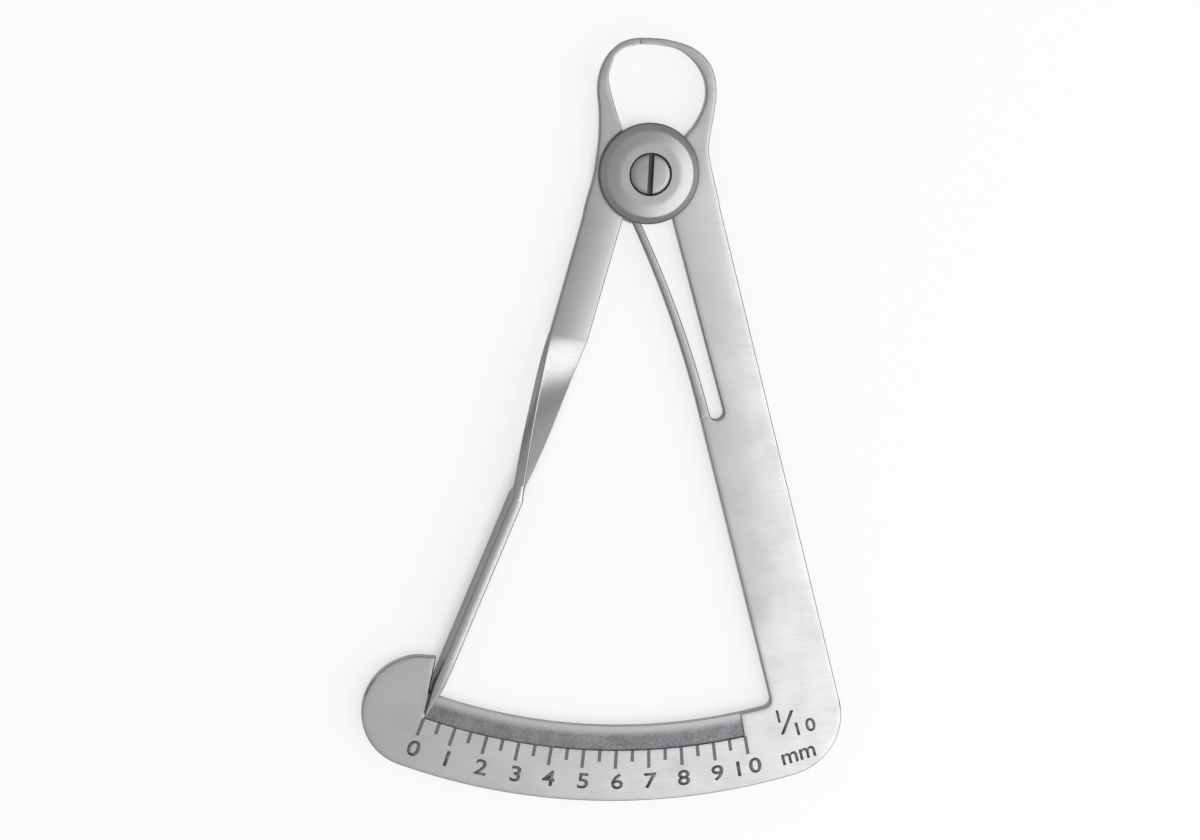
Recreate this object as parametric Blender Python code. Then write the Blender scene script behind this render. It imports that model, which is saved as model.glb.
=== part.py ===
# Spring caliper, 0 to 10 mm: two flat steel arms that turn on one pivot between two discs.
# The right arm carries the scale, the finger lobe and one jaw, and a spring tongue is slit out of it.
# The left arm carries the other jaw and, past a quarter twist, the pointer that runs over the scale.
# It lies on its back: the scale faces up (+Z), the jaws point to +Y, and the pivot is the Z axis.
# All sizes are in metres. Angles on the plates are counted from straight down (-Y), positive to the right.

from math import asin, atan2, cos, pi, radians, sin, sqrt

import bmesh
import bpy
from mathutils import Vector

# Plates
PLATE_THICKNESS = 0.0015
EDGE_CHAMFER = 0.0002
FACE_GAP = 0.0001

# Scale arc and finger lobe
INNER_RADIUS = 0.07735
SCALE_WIDTH = 0.01085
BAND_WIDTH = 0.00345
BAND_DEPTH = 0.0003
ZERO_ANGLE = radians(-22.7)
CORNER_RADIUS = 0.0086
INNER_CORNER_RADIUS = 0.0011
LOBE_RADIUS = 0.008
LOBE_ANGLE = radians(-23.3)
LOBE_SHOULDER_DROP = 0.0003
NOTCH_GAP = 0.0009

# Scale arm, with its sides parallel and leaning out from the pivot
ARM_LEAN = radians(14.3)
ARM_WIDTH = 0.0095
ARM_OUTER_OFFSET = 0.0083
ARM_BLEND_DISTANCE = 0.0072

# Jaws, whose outlines are hooks drawn as shares of the reach from the pivot to the tips.
# The tips' outer corners rise a little past that reach.
JAW_REACH = 0.01775
FULL_OPENING = 0.010
TIP_GAP = 0.0001
TIP_THICKNESS_SHARE = 0.6
TIP_GRIND_START_SHARE = 0.7
TIP_SIDE_SHARE = -0.0676
TIP_WIDTH = 0.00084
TIP_RISE = 0.00019
RIGHT_OUTER_SHARES = (
    (0.541, -0.208), (0.508, -0.072), (0.476, 0.064), (0.461, 0.186), (0.479, 0.327), (0.504, 0.473),
    (0.516, 0.597), (0.501, 0.727), (0.446, 0.842), (0.330, 0.938), (0.169, 0.991), (0.050, 1.007),
)
RIGHT_INNER_SHARES = (
    (0.073, 0.956), (0.232, 0.918), (0.355, 0.819), (0.422, 0.702), (0.438, 0.586), (0.413, 0.473),
    (0.353, 0.361), (0.282, 0.279),
)
LEFT_OUTER_SHARES = (
    (-0.474, -0.210), (-0.421, -0.030), (-0.393, 0.135), (-0.375, 0.310), (-0.375, 0.485), (-0.387, 0.620),
    (-0.375, 0.741), (-0.323, 0.866), (-0.232, 0.962), (-0.143, 1.000),
)
LEFT_INNER_SHARES = (
    (-0.180, 0.936), (-0.253, 0.879), (-0.291, 0.791), (-0.306, 0.702), (-0.283, 0.590), (-0.237, 0.434),
    (-0.207, 0.344),
)
RIGHT_ROOT_ANGLE = radians(133)
LEFT_ROOT_ANGLE = radians(-143)

# Half-lapped hubs on the pivot
HUB_RADIUS = 0.005
HUB_CLEARANCE = 0.00015
LAP_GAP = 0.0001
SPIGOT_RADIUS = 0.0025
SPIGOT_CLEARANCE = 0.00005

# Spring tongue and the slot beside it
SPRING_ROOT_WIDTH = 0.00133
SPRING_TIP_WIDTH = 0.00095
SPRING_ROOT_DISTANCE = 0.0343
SPRING_TIP_CLEARANCE = 0.00012
SPRING_SET = 0.00273
SPRING_ROOT_GAP = 0.0002
SLOT_WIDTH = 0.00202
SLOT_LEAN = radians(15.3)
NOSE_RADIUS = 0.0071
NOSE_GAP = 0.00015

# Pointer arm: flat beside the hub, then a quarter twist, then a blade on edge that ends in a fork
POINTER_LEAN = radians(-16.2)
POINTER_OFFSET = 0.0043
POINTER_WIDTH = 0.0052
POINTER_BLEND_DISTANCE = 0.0082
TWIST_START_DISTANCE = 0.024
TWIST_END_DISTANCE = 0.0475
TWIST_LEAVE_LEAN = radians(-24)
TWIST_LEAVE_LENGTH = 0.0042
TWIST_ARRIVE_LENGTH = 0.0027
BLADE_LEAN = radians(-23.1)
BLADE_DEPTH = 0.0045
POINT_TAPER_LENGTH = 0.0047
POINT_THICKNESS = 0.00025
INDEX_REACH = 0.00285
INDEX_FRONT_SLOPE_LENGTH = 0.0078
INDEX_FRONT_DROP = 0.0009
REAR_PRONG_REACH = 0.0014
FORK_CLEARANCE = 0.0003
FORK_FACE_CLEARANCE = 0.0002

# Discs
FRONT_DISC_RADIUS = 0.0068
FRONT_DISC_THICKNESS = 0.00125
FRONT_RIM_HEIGHT = 0.0003
FRONT_BEVEL_WIDTH = 0.001
FRONT_DOME_RISE = 0.00025
BACK_DISC_RADIUS = 0.0061
BACK_DISC_CHAMFER = 0.0003

# Screw
SCREW_HEAD_RADIUS = 0.0027
SCREW_HEAD_HEIGHT = 0.0008
SCREW_HEAD_CROWN = 0.00012
SCREW_HEAD_CHAMFER = 0.00015
SCREW_HEAD_CLEARANCE = 0.0002
SCREW_SLOT_WIDTH = 0.00075
SCREW_SLOT_DEPTH = 0.0006
SCREW_SLOT_ANGLE = radians(-3)
SHANK_RADIUS = 0.0012
SHANK_CLEARANCE = 0.0001
BORE_FLOOR = 0.0006

# How far cutters run past the steel, how near points are merged, and the steps of round and bent shapes
OVERRUN = 0.0005
MERGE_DISTANCE = 0.0000005
SHARP_ANGLE = radians(25)
CURVE_STEPS = 5
ROUND_STEPS = 64
HUB_STEPS = 48
ARC_STEPS = 40
TWIST_STEPS = 22
BLADE_STEPS = 6

# Levels and sizes that follow from the sizes above
MID_LEVEL = BLADE_DEPTH / 2
PLATE_BACK = MID_LEVEL - PLATE_THICKNESS / 2
PLATE_FRONT = MID_LEVEL + PLATE_THICKNESS / 2
OUTER_RADIUS = INNER_RADIUS + SCALE_WIDTH
BAND_RADIUS = INNER_RADIUS + BAND_WIDTH
SWEEP = 2 * asin(FULL_OPENING / (2 * JAW_REACH))
TEN_ANGLE = ZERO_ANGLE + SWEEP
LAP_RADIUS = HUB_RADIUS + HUB_CLEARANCE
ARM_INNER_OFFSET = ARM_OUTER_OFFSET - ARM_WIDTH
SPRING_OFFSET = ARM_INNER_OFFSET + SPRING_ROOT_WIDTH / 2
SPRING_TIP_DISTANCE = LAP_RADIUS + SPRING_TIP_CLEARANCE + SPRING_TIP_WIDTH / 2
SPRING_LENGTH = SPRING_ROOT_DISTANCE - SPRING_TIP_DISTANCE
BLADE_HALF = PLATE_THICKNESS / 2
INDEX_END = INNER_RADIUS + INDEX_REACH
BLADE_OFFSET = INDEX_END * sin(ZERO_ANGLE - BLADE_LEAN)


def polar(radius, angle):
    """The point at this radius whose angle is counted from straight down, positive to the right."""
    return Vector((radius * sin(angle), -radius * cos(angle)))


def angle_of(point):
    return atan2(point.x, -point.y)


def on_line(lean, offset, distance):
    """A point on the line that leans so from the pivot: offset to its right, distance along it."""
    along = polar(1, lean)
    across = Vector((-along.y, along.x))
    return across * offset + along * distance


def arc_points(centre, radius, start, end, steps):
    """Points along a round stretch, both ends included."""
    return [centre + polar(radius, start + (end - start) * i / steps) for i in range(steps + 1)]


def curve_through(points, steps):
    """A smooth curve through the points, from the first to the last."""
    ends = [points[0] * 2 - points[1]] + list(points) + [points[-1] * 2 - points[-2]]
    curve = []
    for before, start, end, after in zip(ends, ends[1:], ends[2:], ends[3:]):
        for step in range(steps):
            t = step / steps
            cubic = (start * 3 - before - end * 3 + after) * t**3
            square = (before * 2 - start * 5 + end * 4 - after) * t**2
            curve.append((start * 2 + (end - before) * t + square + cubic) / 2)
    curve.append(points[-1])
    return curve


def crossing(start, end, radius):
    """Where the straight run from start to end crosses a circle round the pivot."""
    run = end - start
    a = run.dot(run)
    b = 2 * start.dot(run)
    c = start.dot(start) - radius * radius
    root = sqrt(b * b - 4 * a * c)
    shares = [s for s in ((-b - root) / (2 * a), (-b + root) / (2 * a)) if 0 <= s <= 1]
    return start + run * shares[0]


def corner_centre(offset, limit, radius):
    """Centre of a round corner of this radius between an edge of the arm and a circle round the pivot."""
    side = offset - radius
    reach = limit - radius
    return on_line(ARM_LEAN, side, sqrt(reach * reach - side * side))


def jaw_curve(shares):
    return [Vector(share) * JAW_REACH for share in shares]


def jaw_tip(side, width):
    """The tip's end on one side of the closed jaws, width in from its outer end."""
    return Vector((TIP_SIDE_SHARE * JAW_REACH + side * TIP_GAP / 2, JAW_REACH + TIP_RISE - width))


def lobe_shoulder():
    """The lobe's corner beside the pointer, level with the lobe's top but for a small drop."""
    lobe = polar(OUTER_RADIUS - LOBE_RADIUS, LOBE_ANGLE)
    offset = -(BLADE_HALF + NOTCH_GAP)
    level = lobe.y + LOBE_RADIUS - LOBE_SHOULDER_DROP
    distance = (sin(ZERO_ANGLE) * offset - level) / cos(ZERO_ANGLE)
    return on_line(ZERO_ANGLE, offset, distance)


def lobe_foot():
    """Where the lobe's inner edge ends: at the top of the zero mark."""
    return polar(BAND_RADIUS, ZERO_ANGLE)


def scale_arm_outline():
    """Clockwise from the jaw's tip: outer side, arc, lobe, inner side, slot, hub and the jaw's inside."""
    outer_start = on_line(ARM_LEAN, ARM_OUTER_OFFSET, ARM_BLEND_DISTANCE)
    jaw_outer = [outer_start] + jaw_curve(RIGHT_OUTER_SHARES) + [jaw_tip(1, 0)]
    points = list(reversed(curve_through(jaw_outer, CURVE_STEPS)))
    corner = corner_centre(ARM_OUTER_OFFSET, OUTER_RADIUS, CORNER_RADIUS)
    corner_angle = angle_of(corner)
    points += arc_points(corner, CORNER_RADIUS, ARM_LEAN + pi / 2, corner_angle, CURVE_STEPS * 3)
    points += arc_points(Vector((0, 0)), OUTER_RADIUS, corner_angle, LOBE_ANGLE, ARC_STEPS)[1:]
    lobe = polar(OUTER_RADIUS - LOBE_RADIUS, LOBE_ANGLE)
    points += arc_points(lobe, LOBE_RADIUS, LOBE_ANGLE, -pi, CURVE_STEPS * 5)[1:]
    shoulder = lobe_shoulder()
    inner_end = crossing(shoulder, lobe_foot(), INNER_RADIUS)
    points.append(shoulder)
    fillet = corner_centre(ARM_INNER_OFFSET, INNER_RADIUS, INNER_CORNER_RADIUS)
    fillet_angle = angle_of(fillet)
    points += arc_points(Vector((0, 0)), INNER_RADIUS, angle_of(inner_end), fillet_angle, ARC_STEPS)
    points += arc_points(fillet, INNER_CORNER_RADIUS, fillet_angle, ARM_LEAN + pi / 2, CURVE_STEPS)[1:]
    points += slot_points()
    slot_top = crossing(points[-1], on_line(SLOT_LEAN, slot_wall_offset(), 0), HUB_RADIUS)
    hub_end = RIGHT_ROOT_ANGLE - 2 * pi
    points += arc_points(Vector((0, 0)), HUB_RADIUS, angle_of(slot_top), hub_end, HUB_STEPS)
    jaw_inner = [polar(HUB_RADIUS, RIGHT_ROOT_ANGLE)]
    jaw_inner += list(reversed(jaw_curve(RIGHT_INNER_SHARES))) + [jaw_tip(1, TIP_WIDTH)]
    points += curve_through(jaw_inner, CURVE_STEPS)[1:]
    return points


def slot_wall_offset():
    """How far right of the pivot the line of the slot's far wall passes."""
    wall = on_line(ARM_LEAN, ARM_INNER_OFFSET + SPRING_ROOT_WIDTH + SLOT_WIDTH, SPRING_ROOT_DISTANCE)
    across = Vector((cos(SLOT_LEAN), sin(SLOT_LEAN)))
    return wall.dot(across)


def slot_points():
    """The stub that the spring grows from, and the slot's round end up to its far wall."""
    stub_level = SPRING_ROOT_DISTANCE + SPRING_ROOT_GAP / 2
    radius = SLOT_WIDTH / 2
    slot_left = ARM_INNER_OFFSET + SPRING_ROOT_WIDTH
    centre = on_line(ARM_LEAN, slot_left + radius, SPRING_ROOT_DISTANCE)
    start = ARM_LEAN - pi / 2 + asin(SPRING_ROOT_GAP / 2 / radius)
    points = [on_line(ARM_LEAN, ARM_INNER_OFFSET, stub_level)]
    points += arc_points(centre, radius, start, SLOT_LEAN + pi / 2, CURVE_STEPS * 2)
    return points


def spring_centre(share):
    """Centre line of the tongue, bent to its set: 0 at the root, 1 at the middle of its round tip."""
    offset = SPRING_OFFSET - SPRING_SET * share * share
    return on_line(ARM_LEAN, offset, SPRING_ROOT_DISTANCE - SPRING_LENGTH * share)


def spring_side(share, side, extra):
    """A point beside the centre line, extra out from the tongue's side: -1 left, 1 right."""
    lean = ARM_LEAN + atan2(2 * SPRING_SET * share, SPRING_LENGTH)
    half = (SPRING_ROOT_WIDTH * (1 - share) + SPRING_TIP_WIDTH * share) / 2 + extra
    return spring_centre(share) + Vector((cos(lean), sin(lean))) * half * side


def spring_outline():
    """Up the left side from the root, round the tip, and down the right side."""
    first = SPRING_ROOT_GAP / 2 / SPRING_LENGTH
    shares = [first + (1 - first) * i / TWIST_STEPS for i in range(TWIST_STEPS + 1)]
    tip_lean = ARM_LEAN + atan2(2 * SPRING_SET, SPRING_LENGTH)
    tip = arc_points(spring_centre(1), SPRING_TIP_WIDTH / 2, tip_lean + 3 * pi / 2, tip_lean + pi / 2, CURVE_STEPS * 2)
    left = [spring_side(share, -1, 0) for share in shares[:-1]]
    right = [spring_side(share, 1, 0) for share in reversed(shares[:-1])]
    return left + tip + right


def nose_points():
    """The nose that the spring's tip bears on, kept just clear of the tongue: foot on the hub, bend, corner."""
    outside = spring_side(1 - SPRING_TIP_WIDTH / SPRING_LENGTH, -1, NOSE_GAP)
    at_tip = spring_side(1, -1, NOSE_GAP)
    inward = (at_tip - outside).normalized()
    bend = at_tip + inward * (SPRING_TIP_WIDTH / 2)
    corner = crossing(at_tip, at_tip - inward * HUB_RADIUS, NOSE_RADIUS)
    return [polar(HUB_RADIUS, angle_of(bend)), bend, corner]


def pointer_head_outline():
    """Clockwise from the jaw's tip: its inside, the hub, the spring's nose, and both sides of the flat arm."""
    half = POINTER_WIDTH / 2
    jaw_inner = [jaw_tip(-1, TIP_WIDTH)] + jaw_curve(LEFT_INNER_SHARES) + [polar(HUB_RADIUS, LEFT_ROOT_ANGLE)]
    points = curve_through(jaw_inner, CURVE_STEPS)
    nose_foot, nose_bend, nose_corner = nose_points()
    hub_start = LEFT_ROOT_ANGLE + 2 * pi
    points += arc_points(Vector((0, 0)), HUB_RADIUS, hub_start, angle_of(nose_foot), HUB_STEPS)[1:]
    points.append(nose_bend)
    inner_near = on_line(POINTER_LEAN, half - POINTER_OFFSET, 0)
    inner_far = on_line(POINTER_LEAN, half - POINTER_OFFSET, TWIST_START_DISTANCE)
    nose_end = crossing(inner_near, inner_far, NOSE_RADIUS)
    points += arc_points(Vector((0, 0)), NOSE_RADIUS, angle_of(nose_corner), angle_of(nose_end), CURVE_STEPS)
    points += [inner_far, on_line(POINTER_LEAN, -half - POINTER_OFFSET, TWIST_START_DISTANCE)]
    outer_start = on_line(POINTER_LEAN, -half - POINTER_OFFSET, POINTER_BLEND_DISTANCE)
    jaw_outer = [outer_start] + jaw_curve(LEFT_OUTER_SHARES) + [jaw_tip(-1, 0)]
    points += curve_through(jaw_outer, CURVE_STEPS)
    return points


def plate(outline, origin, keep_square=None):
    """Extrudes an outline through the plate's thickness and chamfers its rims.

    keep_square picks the rim edges that stay square, by their two ends."""
    bm = bmesh.new()
    bottom = [bm.verts.new((p.x - origin.x, p.y - origin.y, PLATE_BACK)) for p in outline]
    cap = bm.faces.new(bottom)
    lifted = bmesh.ops.extrude_face_region(bm, geom=[cap])["geom"]
    raised = [item for item in lifted if isinstance(item, bmesh.types.BMVert)]
    bmesh.ops.translate(bm, verts=raised, vec=(0, 0, PLATE_THICKNESS))
    bmesh.ops.recalc_face_normals(bm, faces=bm.faces)
    rims = [edge for edge in bm.edges if edge.verts[0].co.z == edge.verts[1].co.z]
    if keep_square:
        rims = [edge for edge in rims if not keep_square(edge)]
    bmesh.ops.bevel(
        bm, geom=rims, offset=EDGE_CHAMFER, offset_type="OFFSET", segments=1, profile=0.5,
        affect="EDGES", clamp_overlap=False,
    )
    return bm


def grind_tip(bm):
    """Thins a jaw towards its tip, evenly from both faces, which bend along one straight line."""
    start = TIP_GRIND_START_SHARE * JAW_REACH
    bmesh.ops.bisect_plane(
        bm, geom=bm.verts[:] + bm.edges[:] + bm.faces[:], dist=MERGE_DISTANCE,
        plane_co=(0, start, 0), plane_no=(0, 1, 0),
    )
    for vert in bm.verts:
        share = max(0, (vert.co.y - start) / (JAW_REACH - start))
        factor = 1 - (1 - TIP_THICKNESS_SHARE) * min(1, share)
        vert.co.z = MID_LEVEL + (vert.co.z - MID_LEVEL) * factor


def blade_centre(distance):
    """A point on the straight blade's middle line, which ends over the zero mark."""
    return on_line(BLADE_LEAN, BLADE_OFFSET, distance)


def pointer_stations():
    """Centre, direction, twist and width of each section from the flat arm to the pointer's end."""
    start = on_line(POINTER_LEAN, -POINTER_OFFSET, TWIST_START_DISTANCE)
    end = blade_centre(TWIST_END_DISTANCE)
    leave = start + polar(TWIST_LEAVE_LENGTH, TWIST_LEAVE_LEAN)
    arrive = end - polar(TWIST_ARRIVE_LENGTH, BLADE_LEAN)
    stations = []
    for step in range(1, TWIST_STEPS + 1):
        t = step / TWIST_STEPS
        back = 1 - t
        centre = start * back**3 + leave * (3 * t * back**2) + arrive * (3 * t**2 * back) + end * t**3
        lean = POINTER_LEAN + (BLADE_LEAN - POINTER_LEAN) * t
        twist = t * pi / 2
        deepest = (BLADE_DEPTH / 2 - (BLADE_HALF - EDGE_CHAMFER) * cos(twist)) / sin(twist) * 2
        width = min(POINTER_WIDTH + (BLADE_DEPTH - POINTER_WIDTH) * t, deepest)
        stations.append((centre, lean, twist, width, 1, 0))
    taper_start = INDEX_END - POINT_TAPER_LENGTH
    slope_start = INDEX_END - INDEX_FRONT_SLOPE_LENGTH
    for distance in blade_distances(slope_start, taper_start):
        thin = max(0, (distance - taper_start) / POINT_TAPER_LENGTH)
        drop = max(0, (distance - slope_start) / INDEX_FRONT_SLOPE_LENGTH) * INDEX_FRONT_DROP
        thickness = 1 - thin * (1 - POINT_THICKNESS / PLATE_THICKNESS)
        stations.append((blade_centre(distance), BLADE_LEAN, pi / 2, BLADE_DEPTH, thickness, drop))
    return stations


def blade_distances(slope_start, taper_start):
    """Where the blade's sections stand, with one at each change of shape."""
    straight = slope_start - TWIST_END_DISTANCE
    distances = [TWIST_END_DISTANCE + straight * i / BLADE_STEPS for i in range(1, BLADE_STEPS + 1)]
    return distances + [taper_start, (taper_start + INDEX_END) / 2, INDEX_END]


def twist_blade(bm):
    """Draws the arm's square end out along its stations, turning the front face to the right."""
    start = on_line(POINTER_LEAN, -POINTER_OFFSET, TWIST_START_DISTANCE)
    along = polar(1, POINTER_LEAN)
    across = Vector((-along.y, along.x))
    ends = [face for face in bm.faces if face.normal.xy.dot(along) > cos(ARM_LEAN) and at_end(face, start, along)]
    face = ends[0]
    shape = {}
    for vert in face.verts:
        shape[vert] = ((vert.co.xy - start).dot(across), vert.co.z - MID_LEVEL)
    for centre, lean, twist, width, thickness, drop in pointer_stations():
        drawn = bmesh.ops.extrude_face_region(bm, geom=[face])["geom"]
        bmesh.ops.delete(bm, geom=[face], context="FACES_ONLY")
        face = [item for item in drawn if isinstance(item, bmesh.types.BMFace)][0]
        placed = {}
        side = Vector((cos(lean), sin(lean), 0))
        for vert, (u, w) in nearest(shape, face.verts):
            broad = u * width / POINTER_WIDTH
            level = drop if broad < 0 else 0
            deep = w * thickness
            outward = side * (broad * cos(twist) + deep * sin(twist))
            upward = deep * cos(twist) - broad * sin(twist) - level
            vert.co = Vector((centre.x, centre.y, MID_LEVEL + upward)) + outward
            placed[vert] = (u, w)
        shape = placed


def at_end(face, start, along):
    return abs((face.calc_center_median().xy - start).dot(along)) < EDGE_CHAMFER


def nearest(shape, verts):
    """Pairs each new corner with the place that the corner it was drawn from has in the section."""
    pairs = []
    for vert in verts:
        source = min(shape, key=lambda old: (old.co - vert.co).length)
        pairs.append((vert, shape[source]))
    return pairs


def ring_solid(profile, closed):
    """Turns a profile of (radius, level) points about the pivot."""
    bm = bmesh.new()
    verts = [bm.verts.new((radius, 0, level)) for radius, level in profile]
    edges = [bm.edges.new(pair) for pair in zip(verts, verts[1:])]
    if closed:
        edges.append(bm.edges.new((verts[-1], verts[0])))
    bmesh.ops.spin(
        bm, geom=verts + edges, cent=(0, 0, 0), axis=(0, 0, 1), angle=2 * pi, steps=ROUND_STEPS, use_merge=True,
    )
    bmesh.ops.remove_doubles(bm, verts=bm.verts, dist=MERGE_DISTANCE)
    bmesh.ops.recalc_face_normals(bm, faces=bm.faces)
    return bm


def box(size, centre, turn):
    """A block with its length along the line at this angle from straight down."""
    bm = bmesh.new()
    bmesh.ops.create_cube(bm, size=1)
    bmesh.ops.scale(bm, vec=size, verts=bm.verts)
    for vert in bm.verts:
        x, y, z = vert.co
        vert.co = (x * cos(turn) - y * sin(turn), x * sin(turn) + y * cos(turn), z)
    bmesh.ops.translate(bm, verts=bm.verts, vec=centre)
    return bm


def cylinder(radius, bottom, top):
    return ring_solid([(0, bottom), (radius, bottom), (radius, top), (0, top)], closed=False)


def steel(name, grey, roughness):
    """Stainless steel, told apart by its grey and how polished it is."""
    material = bpy.data.materials.new(name)
    material.use_nodes = True
    shader = material.node_tree.nodes["Principled BSDF"]
    shader.inputs["Base Color"].default_value = (grey, grey, grey, 1)
    shader.inputs["Metallic"].default_value = 1
    shader.inputs["Roughness"].default_value = roughness
    return material


def add_object(name, bm, material, location=(0, 0, 0)):
    mesh = bpy.data.meshes.new(name)
    bm.to_mesh(mesh)
    bm.free()
    mesh.shade_smooth()
    mesh.set_sharp_from_angle(angle=SHARP_ANGLE)
    obj = bpy.data.objects.new(name, mesh)
    obj.location = location
    bpy.context.scene.collection.objects.link(obj)
    if material:
        mesh.materials.append(material)
    return obj


def cut(obj, name, bm):
    """Cuts a shape out of an object. The cutter stays in the scene, hidden from renders."""
    cutter = add_object(name, bm, None)
    cutter.hide_render = True
    cutter.display_type = "WIRE"
    modifier = obj.modifiers.new(name, "BOOLEAN")
    modifier.operation = "DIFFERENCE"
    modifier.object = cutter


def band_cutter():
    """The shallow band between the inner rim and the marks, from the lobe's edge to the ten mark."""
    foot = lobe_foot()
    shoulder = lobe_shoulder()
    inner_end = crossing(shoulder, foot, INNER_RADIUS)
    past = inner_end + (shoulder - foot).normalized() * OVERRUN
    outline = [past] + arc_points(Vector((0, 0)), BAND_RADIUS, ZERO_ANGLE, TEN_ANGLE, ARC_STEPS)
    inner = arc_points(Vector((0, 0)), INNER_RADIUS - OVERRUN, TEN_ANGLE, angle_of(past), ARC_STEPS)
    outline += inner[:-1]
    bm = bmesh.new()
    floor = bm.faces.new([bm.verts.new((p.x, p.y, PLATE_FRONT - BAND_DEPTH)) for p in outline])
    lifted = bmesh.ops.extrude_face_region(bm, geom=[floor])["geom"]
    raised = [item for item in lifted if isinstance(item, bmesh.types.BMVert)]
    bmesh.ops.translate(bm, verts=raised, vec=(0, 0, BAND_DEPTH + OVERRUN))
    bmesh.ops.recalc_face_normals(bm, faces=bm.faces)
    return bm


def in_tip_face(edge):
    """Whether an edge of a jaw lies along the face that meets the other jaw."""
    distances = [abs(vert.co.x - TIP_SIDE_SHARE * JAW_REACH) for vert in edge.verts]
    return max(distances) < TIP_GAP and min(vert.co.y for vert in edge.verts) > 0


def make_scale_arm(material):
    along = polar(1, ARM_LEAN)

    def stays_square(edge):
        """The jaw's tip, and the end of the stub that the tongue grows from."""
        distances = [vert.co.xy.dot(along) - SPRING_ROOT_DISTANCE for vert in edge.verts]
        return in_tip_face(edge) or max(abs(d - SPRING_ROOT_GAP / 2) for d in distances) < MERGE_DISTANCE

    bm = plate(scale_arm_outline(), Vector((0, 0)), stays_square)
    grind_tip(bm)
    arm = add_object("scale_arm", bm, material)
    lap_level = MID_LEVEL - LAP_GAP / 2
    cut(arm, "scale_arm_lap_cutter", cylinder(LAP_RADIUS, lap_level, PLATE_FRONT + OVERRUN))
    cut(arm, "scale_arm_bore_cutter", bore_cutter())
    cut(arm, "scale_band_cutter", band_cutter())


def bore_cutter():
    return cylinder(SPIGOT_RADIUS + SPIGOT_CLEARANCE, PLATE_BACK - OVERRUN, PLATE_FRONT + OVERRUN)


def make_leaf_spring(material):
    root = spring_centre(0)
    along = polar(1, ARM_LEAN)

    def is_root_end(edge):
        return min(vert.co.xy.dot(along) for vert in edge.verts) > -SPRING_ROOT_GAP

    bm = plate(spring_outline(), root, is_root_end)
    add_object("leaf_spring", bm, material, (root.x, root.y, 0))


def make_pointer_arm(material):
    along = polar(1, POINTER_LEAN)

    def stays_square(edge):
        """The jaw's tip, and the end that the blade is drawn out from."""
        distances = [vert.co.xy.dot(along) for vert in edge.verts]
        return in_tip_face(edge) or min(distances) > TWIST_START_DISTANCE - EDGE_CHAMFER

    bm = plate(pointer_head_outline(), Vector((0, 0)), stays_square)
    grind_tip(bm)
    twist_blade(bm)
    arm = add_object("pointer_arm", bm, material)
    lap_level = MID_LEVEL + LAP_GAP / 2
    cut(arm, "pointer_arm_lap_cutter", cylinder(LAP_RADIUS, PLATE_BACK - OVERRUN, lap_level))
    cut(arm, "pointer_arm_bore_cutter", bore_cutter())
    cut(arm, "fork_cutter", fork_cutter())
    cut(arm, "rear_prong_cutter", rear_prong_cutter())


def fork_cutter():
    """Opens the blade's end so that it straddles the inner rim of the scale."""
    mouth = INNER_RADIUS - FORK_CLEARANCE
    bottom = PLATE_BACK - FORK_FACE_CLEARANCE
    top = PLATE_FRONT + FORK_FACE_CLEARANCE
    end = INDEX_END + OVERRUN
    place = blade_centre((mouth + end) / 2)
    return box((PLATE_THICKNESS * 2, end - mouth, top - bottom), (place.x, place.y, (bottom + top) / 2), BLADE_LEAN)


def rear_prong_cutter():
    """Shortens the prong behind the scale."""
    start = INNER_RADIUS + REAR_PRONG_REACH
    end = INDEX_END + OVERRUN
    place = blade_centre((start + end) / 2)
    size = (PLATE_THICKNESS * 2, end - start, PLATE_BACK + OVERRUN)
    return box(size, (place.x, place.y, (PLATE_BACK - OVERRUN) / 2), BLADE_LEAN)


def make_front_disc(material):
    bottom = PLATE_FRONT + FACE_GAP
    top = bottom + FRONT_DISC_THICKNESS
    head_radius = SCREW_HEAD_RADIUS + SCREW_HEAD_CLEARANCE
    seat = head_seat_level()
    shank = SHANK_RADIUS + SHANK_CLEARANCE
    rim = FRONT_DISC_RADIUS
    profile = [(shank, seat), (shank, bottom), (rim, bottom), (rim, bottom + FRONT_RIM_HEIGHT)]
    face_radius = rim - FRONT_BEVEL_WIDTH
    for step in range(CURVE_STEPS + 1):
        share = step / CURVE_STEPS
        radius = face_radius + (head_radius - face_radius) * share
        profile.append((radius, top - FRONT_DOME_RISE * (1 - share) ** 2))
    profile.append((head_radius, seat))
    add_object("front_disc", ring_solid(profile, closed=True), material)


def head_seat_level():
    """Floor of the front disc's counterbore, a face gap under the screw's head."""
    return PLATE_FRONT + FACE_GAP + FRONT_DISC_THICKNESS - SCREW_HEAD_HEIGHT - FACE_GAP


def make_back_disc(material):
    top = PLATE_BACK - FACE_GAP
    bore = SHANK_RADIUS + SHANK_CLEARANCE
    rim = BACK_DISC_RADIUS
    profile = [
        (0, 0), (rim - BACK_DISC_CHAMFER, 0), (rim, BACK_DISC_CHAMFER), (rim, top), (SPIGOT_RADIUS, top),
        (SPIGOT_RADIUS, PLATE_FRONT), (bore, PLATE_FRONT), (bore, BORE_FLOOR), (0, BORE_FLOOR),
    ]
    add_object("back_disc", ring_solid(profile, closed=False), material)


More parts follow.
